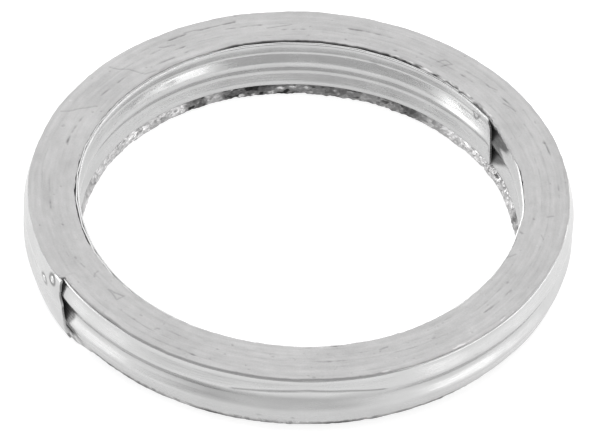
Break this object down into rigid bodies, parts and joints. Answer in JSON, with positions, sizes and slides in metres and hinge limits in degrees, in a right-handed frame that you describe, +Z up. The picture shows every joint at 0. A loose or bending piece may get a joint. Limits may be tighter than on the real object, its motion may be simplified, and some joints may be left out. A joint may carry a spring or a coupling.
{
  "type": "spiral-wound ring gasket",
  "caption": "Flat sealing ring for a pipe or port joint, wound from a ribbed metal strip with soft filler between its turns; seals on its two flat faces.",
  "frame": {"origin": "centre of the lower sealing face, on the bore's axis", "axes": "+Z up along the bore's axis, from the lower sealing face to the upper one; the strip starts at the bore 31.5 degrees from +X towards +Y"},
  "size_m": [0.0448, 0.0446, 0.0055],
  "materials": {
    "strip_steel": "bright rolled stainless strip, lightly scuffed",
    "weld_steel": "spot-welded nuggets with a dull heated rim",
    "pressed_filler": "graphite and mineral filler, pressed smooth with a dull metallic grey"
  },
  "bodies": {
    "root": {"winding_strip": "strip_steel", "filler_tape": "pressed_filler", "start_weld": "weld_steel", "end_welds": "weld_steel"}
  },
  "joints": []
}
